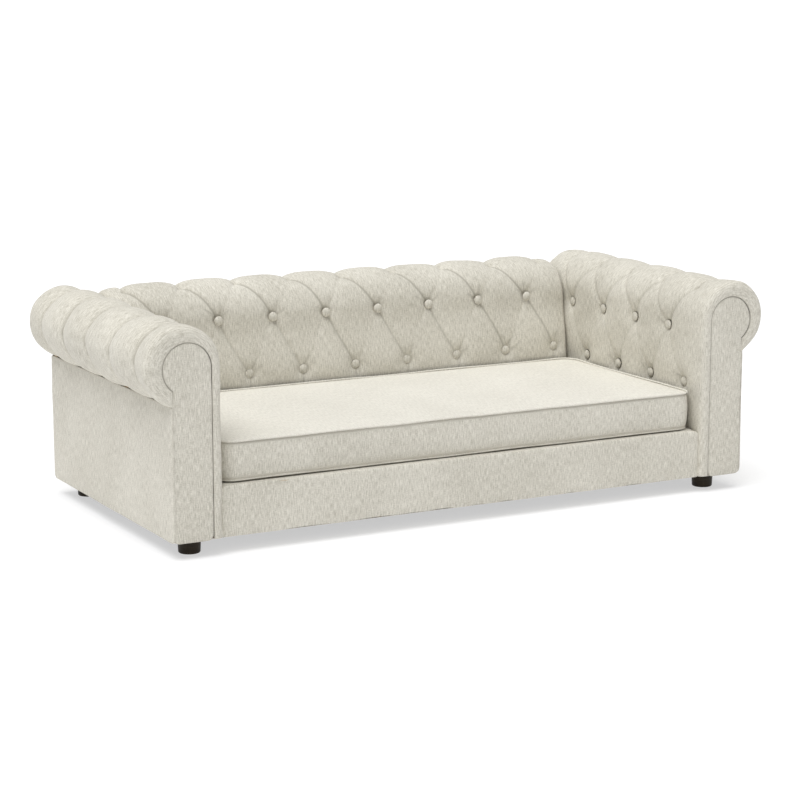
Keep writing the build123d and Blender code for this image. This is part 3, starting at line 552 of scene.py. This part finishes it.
def button_points(centre, facing, rng):
    """One button's points round its axis; facing is the way it looks, over the seat."""
    made, cloth = [], []
    axis = np.array(facing) + rng.uniform(-button_tilt, button_tilt, 3)
    axis /= np.linalg.norm(axis)
    side = np.cross(axis, (0, 0, 1))
    side /= np.linalg.norm(side)
    up = np.cross(side, axis)
    spin = rng.uniform(0, 2 * pi)
    for share, height in button_profile_shares:
        for k in range(button_turns):
            turn = 2 * pi * k / button_turns
            gather = 1 + gather_height * share ** 3 * sin(gathers * turn + spin)
            reach = button_radius * share * gather
            made.append(centre + axis * height * button_dome
                        + side * reach * cos(turn) + up * reach * sin(turn))
            cloth.append((reach * cos(turn) + spin, reach * sin(turn)))
    return made, cloth


def button_group(name, places, solid, seed):
    """A row or two of buttons as one piece; each place is a centre and the way the button looks."""
    rng = np.random.default_rng(seed)
    points, flat, faces = [], [], []
    rings = len(button_profile_shares)
    for centre, facing in places:
        base = len(points)
        made, cloth = button_points(np.array(centre), facing, rng)
        points += made
        flat += cloth
        for r in range(rings - 1):
            for k in range(button_turns):
                a, b = base + r * button_turns + k, base + r * button_turns + (k + 1) % button_turns
                faces.append((a, a + button_turns, b + button_turns, b))
    group = cloth_object(name, points, faces, flat, oatmeal)
    dress(group, "frame", solid=solid)


upward_look = 0.12
for side, sign in (("right", 1), ("left", -1)):
    x = sign * (arm_inner + arm_sink - button_seat)
    places = [((x, t, arm_low_row), (-sign, 0, 0)) for t in low_t]
    places += [((x, t, arm_up_row), (-sign, 0, 0)) for t in up_t]
    button_group(side + "_arm_button_set", places, side + "_arm_buttons", seed=31 if sign > 0 else 32)
y = back_crown + back_sink - button_seat
places = [((t, y, back_low_row), (0, -1, 0)) for t in back_low_t]
places += [((t, y + back_lean, back_up_row), (0, -1, upward_look)) for t in back_up_t]
button_group("back_button_set", places, "back_buttons", seed=33)


# Arm facings: thinly padded keyhole panels of the same fabric that close the front and rear end of
# each arm. They are set just inside the lip, so that the seam lies in the hollow between the two.
def inset_outline(outline, distance):
    """The outline moved inward along its mitred normals."""
    before, after = np.roll(outline, 1, axis=0), np.roll(outline, -1, axis=0)
    a, b = outline - before, after - outline
    a /= np.linalg.norm(a, axis=1)[:, None]
    b /= np.linalg.norm(b, axis=1)[:, None]
    normal = np.column_stack((-(a + b)[:, 1], (a + b)[:, 0]))
    length = np.linalg.norm(normal, axis=1)
    normal /= length[:, None]
    return outline + normal * (distance / np.maximum(length / 2, 0.5))[:, None]


def edge_distance(points, outline):
    """Distance of each point from the closed outline."""
    nearest = np.full(len(points), np.inf)
    for a, b in zip(outline, np.roll(outline, -1, axis=0)):
        run = np.clip(((points - a) @ (b - a)) / max((b - a) @ (b - a), 1e-12), 0, 1)
        nearest = np.minimum(nearest, np.linalg.norm(points - a - run[:, None] * (b - a), axis=1))
    return nearest


def filled(outline, step, insets):
    """Triangles over the inside of an outline; returns points, triangles and the rim's numbers."""
    rings = [outline] + [inset_outline(outline, inset) for inset in insets]
    low, high = outline.min(0), outline.max(0)
    across, up = np.meshgrid(np.arange(low[0] + step / 2, high[0], step),
                             np.arange(low[1] + step / 2, high[1], step))
    inner = np.column_stack((across.ravel(), up.ravel()))
    crossings = np.zeros(len(inner), int)
    for (x0, y0), (x1, y1) in zip(outline, np.roll(outline, -1, axis=0)):
        spans = (inner[:, 1] < y0) != (inner[:, 1] < y1)
        if y0 != y1:
            at = x0 + (inner[:, 1] - y0) / (y1 - y0) * (x1 - x0)
            crossings += spans & (inner[:, 0] < at)
    keep = (crossings % 2 == 1) & (edge_distance(inner, outline) > max(insets) + step * 0.6)
    cloud = np.vstack(rings + [inner[keep]])
    count = len(outline)
    rim = [(k, (k + 1) % count) for k in range(count)]
    verts, _, faces, origins, _, _ = delaunay_2d_cdt(cloud.tolist(), rim, [], 1, 1e-7)
    number = {}
    for out, sources in enumerate(origins):
        for source in sources:
            number[source] = out
    return (np.array([tuple(v) for v in verts]), [list(f) for f in faces],
            [number[k] for k in range(count)])


# rows of points along the seam, how the edge rolls down, and how far inward the seam's painted shade
# reaches
seam_rows, edge_roll, seam_shade_width = (0.0009, 0.0022, 0.0045), 0.0016, 0.0009


def panel_object(name, outline, place, height, wall, material, flip, step=0.006, edge=0.0006,
                 seam_shade_share=0.5):
    """A sewn panel: place(points, heights) sets it in space, height(points, distance) pads it.

    Its edge is drawn down by edge and goes on as a wall behind it; the wall's cloth runs on outward.
    """
    flat, faces, rim = filled(outline, step, seam_rows)
    distance = edge_distance(flat, outline)
    lift = height(flat, distance) - edge * np.exp(-distance / edge_roll)
    # painted shade along the seam, fading inward from the edge
    painted_shade = seam_shade_share * np.exp(-distance / seam_shade_width)
    points = place(flat, lift)
    edge_line = flat[rim]
    behind = place(edge_line, np.full(len(rim), -wall))
    before, after = np.roll(edge_line, 1, axis=0), np.roll(edge_line, -1, axis=0)
    outward = np.column_stack((after[:, 1] - before[:, 1], before[:, 0] - after[:, 0]))
    outward /= np.linalg.norm(outward, axis=1)[:, None]
    turning = np.sum(edge_line[:, 0] * after[:, 1] - after[:, 0] * edge_line[:, 1])
    turned_flat = edge_line + np.sign(turning) * wall * outward
    base = len(points)
    count = len(rim)
    walls = [(rim[k], rim[(k + 1) % count], base + (k + 1) % count, base + k) for k in range(count)]
    if flip:
        faces = [f[::-1] for f in faces]
    else:
        walls = [w[::-1] for w in walls]
    return cloth_object(name, np.vstack((points, behind)), faces + walls,
                        np.vstack((flat, turned_flat)), material, np.concatenate((painted_shade, painted_shade[rim])))


def padding(thickness, run, rng, wave_length, wave_height):
    """How high a panel's fabric stands: it rises from the seam over a short run, a little unevenly."""
    def height(points, distance):
        wave = ripple(points[:, 0], points[:, 1], rng, wave_length, wave_height)
        return thickness * (1 - np.exp(-distance / run)) + wave
    return height


def rounded(points, radius, steps=6):
    """A closed outline with every corner rounded to its own radius (0 keeps it sharp)."""
    line = []
    count = len(points)
    for k, (corner, r) in enumerate(zip(points, radius)):
        corner = np.array(corner)
        if not r:
            line.append(corner)
            continue
        a, b = np.array(points[k - 1]) - corner, np.array(points[(k + 1) % count]) - corner
        a, b = a / np.linalg.norm(a), b / np.linalg.norm(b)
        for share in np.linspace(0, 1, steps):
            start, end = corner + a * r, corner + b * r
            line.append((1 - share) ** 2 * start + 2 * share * (1 - share) * corner + share ** 2 * end)
    return np.array(line)


def closed_evenly(line, step):
    """The closed outline with its points a step apart."""
    return evenly(np.vstack((line, line[:1])), step)[:-1]


def sewn_rectangle(left, right, low, high, low_corner, high_corner, step):
    """A panel's outline, with one radius for its lower corners and one for its upper ones."""
    corners = [(left, low), (right, low), (right, high), (left, high)]
    return closed_evenly(rounded(corners, [low_corner, low_corner, high_corner, high_corner]), step)


facing_outer, facing_inner, facing_neck, floor_gap = 0.0884, 0.0178, 0.262, 0.0288
facing_corner, facing_gap, facing_wall, stem_start = 0.010, 0.0003, 0.004, 0.1
front_setback, rear_setback = 0.0017, 0.0022
# the stem's straight sides with two rounded corners, and the round head that follows the board
keyhole = np.vstack((
    rounded([(facing_inner, stem_start), (facing_inner, floor_gap), (facing_outer, floor_gap),
             (facing_outer, facing_neck)], [0, facing_corner, facing_corner, 0]),
    ring(board_centre, board_radius - facing_gap, board_neck_angle, 180, count=60)))
keyhole = closed_evenly(keyhole, step=0.003)
facing_plane = {"front": (front + front_setback, -1), "rear": (arm_rear - rear_setback, 1)}
for side, sign in (("right", 1), ("left", -1)):
    for end, node in (("front", "_arm_facing"), ("rear", "_arm_rear_facing")):
        y, out = facing_plane[end]
        rng = np.random.default_rng(seed=41 + sign)
        facing = panel_object(
            side + "_" + end + "_facing", keyhole,
            lambda p, h, sign=sign, y=y, out=out: np.column_stack(
                (sign * (arm_inner + p[:, 0]), y + out * h, p[:, 1])),
            padding(thickness=0.0016, run=0.011, rng=rng, wave_length=0.06, wave_height=0.0003),
            facing_wall, oatmeal, flip=(sign * out > 0))
        dress(facing, "frame", solid=side + node)

# Outside panels: the same fabric pulled tight and flat over the arms' outer sides and over the back,
# from the base's lower edge up to the roll, and tacked along its edges.
panel_top, panel_rear, outside, panel_setback = 0.2565, 0.2606, arm_inner + 0.090, 0.0012
# the last of these is how strong the painted shade along the panels' seams is
panel_front, panel_corner, panel_wall, panel_seam_shade = front + 0.001, 0.012, 0.003, 0.1
for side, sign in (("right", 1), ("left", -1)):
    rng = np.random.default_rng(seed=51 + sign)
    panel = panel_object(
        side + "_outside_cover",
        sewn_rectangle(panel_front, panel_rear, floor_gap, panel_top, panel_corner, 0, step=0.006),
        lambda p, h, sign=sign: np.column_stack(
            (sign * (outside - panel_setback + h), p[:, 0], p[:, 1])),
        padding(thickness=0.0014, run=0.02, rng=rng, wave_length=0.12, wave_height=0.0004),
        panel_wall, oatmeal, flip=sign < 0, step=0.009, seam_shade_share=panel_seam_shade)
    dress(panel, "frame", solid=side + "_arm_outside_panel")
rng = np.random.default_rng(seed=55)
back_panel_half, back_panel_top, back_rear = outside - panel_setback, 0.2480, 0.261
panel = panel_object(
    "back_outside_cover",
    sewn_rectangle(-back_panel_half, back_panel_half, floor_gap, back_panel_top, panel_corner, 0,
                   step=0.007),
    lambda p, h: np.column_stack((p[:, 0], back_rear - panel_setback + h, p[:, 1])),
    padding(thickness=0.0014, run=0.02, rng=rng, wave_length=0.15, wave_height=0.0005),
    panel_wall, oatmeal, flip=True, step=0.012, seam_shade_share=panel_seam_shade)
dress(panel, "frame", solid="back_outside_panel")

# Front rail cover: one cut of the fabric stretched over the front rail and its rounded upper
# corners, lapped a little onto the deck.
rail_front, rail_half, rail_low, rail_high, rail_lap = -0.297, 0.4775, 0.0290, 0.1158, 0.020
rail_corner = 0.014
rng = np.random.default_rng(seed=61)
rail_cover = panel_object(
    "rail_fabric",
    sewn_rectangle(-rail_half, rail_half, rail_low, rail_high, 0, rail_corner, step=0.005),
    lambda p, h: np.column_stack((p[:, 0], rail_front + panel_setback - h, p[:, 1])),
    padding(thickness=0.0013, run=0.006, rng=rng, wave_length=0.1, wave_height=0.0003),
    rail_lap, oatmeal, flip=False, step=0.007, edge=0.001, seam_shade_share=panel_seam_shade)
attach(rail_cover, "frame")
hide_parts("front_rail_cover")

# Seat cushion: a loose foam block in a boxed cover of the same fabric, crowned on top. The boxing is
# sewn to the top and the bottom with a thin piped edge, and a zip closes it at the rear.
cushion_half, cushion_front, cushion_rear = 0.4686, -0.284, 0.133
cushion_low, cushion_high, cushion_radius, cushion_draw = 0.1212, 0.1843, 0.029, 0.003
# a lighter copy of the oatmeal weave, painted light for the top, which faces the lamp; the boxing keeps the
# plain weave
painted_light_cushion_weave = woven("oatmeal_weave_painted_light", light=(0.825, 0.800, 0.722), dark=(0.610, 0.587, 0.518))
edge_share, edge_reach, bottom_sag, inset_probe = 0.45, 0.016, 0.0041, 0.001
top_wave_length, top_wave_height, top_wave_start = 0.14, 0.0006, 0.03
boxing_rows, boxing_swell, swell_shape = 12, 0.0034, 0.7
boxing_wave_length, boxing_wave_height, boxing_wave_rise = 0.11, 0.0002, 0.06
cushion_step, cushion_seam_rows = 0.008, (0.002, 0.005, 0.009)


def cushion_outline(grow, step=0.006):
    """Seen from above: rounded corners, the front and the ends drawn in at their middles."""
    x, y0, y1 = cushion_half + grow, cushion_front - grow, cushion_rear + grow
    r = cushion_radius + grow
    corners = ((-x + r, y0 + r), (x - r, y0 + r), (x - r, y1 - r), (-x + r, y1 - r))
    starts = (180, 270, 0, 90)
    arcs = [ring(corner, r, start, start + 90, count=24) for corner, start in zip(corners, starts)]
    line = closed_evenly(np.vstack(arcs), step)
    mid_y = (y0 + y1) / 2
    draw_x = cushion_draw * np.clip(1 - ((line[:, 1] - mid_y) / (mid_y - y0)) ** 2, 0, 1)
    draw_y = cushion_draw * np.clip(1 - (line[:, 0] / x) ** 2, 0, 1)
    line[:, 0] -= np.sign(line[:, 0]) * draw_x * (np.abs(line[:, 0]) / x) ** 8
    line[:, 1] += draw_y * np.clip((mid_y - line[:, 1]) / (mid_y - y0), 0, 1) ** 8
    return line


def round_run(line):
    """Distance of each point of a closed outline from its first point, along the outline."""
    return along(np.vstack((line, line[:1])))[:-1]


def outward_ways(line):
    """The way out of a closed outline at each of its points."""
    outward = line - inset_outline(line, inset_probe)
    return outward / np.linalg.norm(outward, axis=1)[:, None]


def boxed_cushion(name, shrink, crown, material, side_material, seed):
    """The closed form: crowned top, boxing that swells a little, nearly flat underside."""
    rng = np.random.default_rng(seed)
    outline = cushion_outline(-shrink)
    low, high = cushion_low + shrink, cushion_high - shrink
    flat, faces, rim = filled(outline, cushion_step, cushion_seam_rows)
    distance = edge_distance(flat, outline)
    mid_y = (cushion_front + cushion_rear) / 2
    u = flat[:, 0] / cushion_half
    v = (flat[:, 1] - mid_y) / (cushion_rear - mid_y)
    bulk = np.clip(1 - u ** 4, 0, 1) * np.clip(1 - v ** 4, 0, 1)
    top = high + crown * (edge_share * (1 - np.exp(-distance / edge_reach)) + (1 - edge_share) * bulk)
    top += (ripple(flat[:, 0], flat[:, 1], rng, top_wave_length, top_wave_height)
            * (1 - np.exp(-distance / top_wave_start)))
    bottom = low - bottom_sag * bulk
    count, base = len(rim), len(flat)
    boxing, boxing_flat = [], []
    perimeter = round_run(outline)
    rim_points = flat[rim]
    outward = outward_ways(rim_points)
    for row in range(1, boxing_rows):
        share = row / boxing_rows
        height = np.full(count, high + (low - high) * share)
        swell = boxing_swell * sin(pi * share) ** swell_shape
        wave = ripple(perimeter, share * boxing_wave_rise, rng, boxing_wave_length, boxing_wave_height)
        swell += wave * sin(pi * share)
        # the zip holds the boxing flat at the rear
        swell *= 1 - np.clip(outward[:, 1], 0, 1) ** 4
        boxing.append(np.column_stack((rim_points + outward * swell[:, None], height)))
        boxing_flat.append(np.column_stack((perimeter, height)))
    points = [np.column_stack((flat, top)), *boxing, np.column_stack((flat, bottom))]
    cloth = np.vstack([flat] + boxing_flat + [flat])
    under = base + (boxing_rows - 1) * count
    rows = [rim] + [list(range(base + k * count, base + (k + 1) * count)) for k in range(boxing_rows - 1)]
    rows.append([under + k for k in rim])
    sides = [(b[k], b[(k + 1) % count], a[(k + 1) % count], a[k])
             for a, b in zip(rows, rows[1:]) for k in range(count)]
    lower = [[under + k for k in face[::-1]] for face in faces]
    made = cloth_object(name, np.vstack(points), faces + sides + lower, cloth, material)
    made.data.materials.append(side_material)
    is_side = np.repeat((0, 1, 0), (len(faces), len(sides), len(lower)))
    made.data.polygons.foreach_set("material_index", is_side)
    return made


cushion = boxed_cushion("cushion_fabric_cover", shrink=0, crown=0.0075, material=painted_light_cushion_weave,
                        side_material=oatmeal, seed=71)
dress(cushion, "seat_cushion", solid="cushion_cover")

foam, foam_tree, foam_shader = fresh_material("seat_foam", rough=0.95, specular=0.5)
foam_cells = foam_tree.nodes.new("ShaderNodeTexNoise")
foam_cells.inputs["Scale"].default_value = 900
foam_colour = two_tones(foam_tree, foam_cells.outputs["Fac"], dark=(0.62, 0.56, 0.36),
                        light=(0.82, 0.77, 0.55), low=0, high=1)
foam_tree.links.new(foam_colour, foam_shader.inputs["Base Color"])
core = boxed_cushion("cushion_foam_block", shrink=0.0024, crown=0.0065, material=foam,
                     side_material=foam, seed=72)
dress(core, "seat_cushion", solid="cushion_core")

# Piping: a thin cord wrapped in a bias strip of the fabric and sewn into both edges of the cushion's
# boxing; like any sewn edge it wanders a little.
welt_radius, welt_turns, welt_lift, welt_out = 0.0017, 10, 0.0014, 0.0012
for name, node, height, grow, seed in (
        ("upper_piping", "top_welt", cushion_high + welt_lift, welt_out, 73),
        ("lower_piping", "bottom_welt", cushion_low - welt_lift, -welt_out, 74)):
    rng = np.random.default_rng(seed)
    line = cushion_outline(grow, step=0.003)
    run = round_run(line)
    outward = outward_ways(line)
    wander = ripple(run, 0, rng, length=0.12, height=0.0003)
    lift = ripple(run, 1, rng, length=0.16, height=0.0004)
    points, flat = [], []
    for k in range(welt_turns):
        turn = 2 * pi * k / welt_turns
        points.append(np.column_stack((line + outward * (wander + welt_radius * cos(turn))[:, None],
                                       height + lift + welt_radius * sin(turn))))
        flat.append(np.column_stack((run, np.full(len(run), welt_radius * turn))))
    count = len(line)
    faces = [(a * count + k, b * count + k, b * count + (k + 1) % count, a * count + (k + 1) % count)
             for a, b in ((k, (k + 1) % welt_turns) for k in range(welt_turns)) for k in range(count)]
    # the piping uses the cushion's lighter copy of the weave, painted light
    welt = cloth_object(name, np.vstack(points), faces, np.vstack(flat), painted_light_cushion_weave)
    dress(welt, "seat_cushion", solid=node)


# Deck cloth and dust cover: a plain woven lining over the seat deck, tucked in beside the padding,
# and a thin black cloth under the base. Both are stretched flat and tacked along their edges.
def flat_cloth(name, node, material, side_tuck, rear_tuck, seed, columns=60, rows=30):
    """A thin sheet over its solid's box, and past its sides and rear where it is tucked in."""
    rng = np.random.default_rng(seed)
    low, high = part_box(node)
    half_width = (high.x - low.x) / 2 + side_tuck
    rear = high.y + rear_tuck
    across, up = np.meshgrid(np.linspace(-half_width, half_width, columns),
                             np.linspace(low.y, rear, rows))
    wave = ripple(across, up, rng, length=0.2, height=0.0001)
    middle = (low.z + high.z) / 2
    half_thick = (high.z - low.z) / 2
    upper = np.stack((across, up, middle + half_thick + wave), axis=-1).reshape(-1, 3)
    lower_side = np.stack((across, up, middle - half_thick + wave), axis=-1).reshape(-1, 3)
    count = len(upper)
    faces = grid_faces(rows, columns, False)
    faces += [[count + k for k in face] for face in grid_faces(rows, columns, True)]
    number = np.arange(count).reshape(rows, columns)
    rim = [*number[0].tolist(), *number[1:, -1].tolist(), *number[-1, -2::-1].tolist(),
           *number[-2:0:-1, 0].tolist()]
    faces += [(a, count + a, count + b, b) for a, b in zip(rim, rim[1:] + rim[:1])]
    piece = cloth_object(name, np.vstack((upper, lower_side)), faces,
                         np.vstack((upper[:, :2], lower_side[:, :2])), material)
    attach(piece, "frame")
    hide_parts(node)
    return piece, (2 * half_width, rear - low.y)


deck_lining = woven("deck_lining", light=(0.70, 0.67, 0.60), dark=(0.50, 0.475, 0.41),
                    slub=(900.0, 900.0), bump=0.2)
deck_cloth, deck_size = flat_cloth("deck_lining_cloth", "deck_cloth", deck_lining, side_tuck=0.0125,
                                   rear_tuck=0.005, seed=81)
dust_fabric = woven("dust_fabric", light=(0.045, 0.045, 0.047), dark=(0.018, 0.018, 0.019),
                    slub=(1200.0, 1200.0), bump=0.2)
dust_cloth, dust_size = flat_cloth("under_dust_cloth", "dust_cover", dust_fabric, side_tuck=0.0,
                                   rear_tuck=0.0, seed=82)


# Pieces that keep the shape of their solids: turned and stained feet, pine boards, hardboard panels,
# steel fasteners, the buttons' twine ties and the cushion's zip.
def grained(name, light, dark, stretch, rough, metal=0.0, bump=0.1):
    """Streaked or mottled surface in the solid's own coordinates."""
    material, tree, shader = fresh_material(name, rough, specular=0.5 if metal else 0.2)
    shader.inputs["Metallic"].default_value = metal
    where = tree.nodes.new("ShaderNodeTexCoord").outputs["Object"]
    grain = streaks(tree, where, stretch, detail=4)
    colour = two_tones(tree, grain, dark, light, low=0.3, high=0.7)
    tree.links.new(colour, shader.inputs["Base Color"])
    raised(tree, shader, grain, strength=bump, distance=0.0005)
    return material


finishes = {
    "foot_wood": grained("dark_foot_wood", (0.030, 0.021, 0.009), (0.014, 0.009, 0.004),
                         stretch=(60, 60, 400), rough=0.42),
    "frame_board": grained("pine_board", (0.62, 0.44, 0.26), (0.44, 0.29, 0.15),
                           stretch=(90, 9, 90), rough=0.7),
    "hardboard": grained("hardboard", (0.26, 0.17, 0.10), (0.19, 0.12, 0.07),
                         stretch=(300, 300, 300), rough=0.65),
    "steel": grained("zinc_steel", (0.62, 0.62, 0.60), (0.46, 0.46, 0.45),
                     stretch=(500, 500, 500), rough=0.38, metal=1.0),
    "twine": grained("waxed_twine", (0.62, 0.55, 0.42), (0.42, 0.36, 0.26),
                     stretch=(900, 900, 900), rough=0.85),
    "zip_tape": grained("zip_tape", (0.66, 0.64, 0.57), (0.52, 0.50, 0.44),
                        stretch=(1500, 1500, 300), rough=0.9),
    "zip_metal": grained("zip_metal", (0.50, 0.50, 0.48), (0.34, 0.34, 0.33),
                         stretch=(700, 700, 700), rough=0.35, metal=1.0),
}
for part in frame["record"]["subparts"]:
    solid = frame["nodes"][part["node"]]
    if part["material_slot"] in finishes and not solid.hide_render:
        solid.data.materials.clear()
        solid.data.materials.append(finishes[part["material_slot"]])
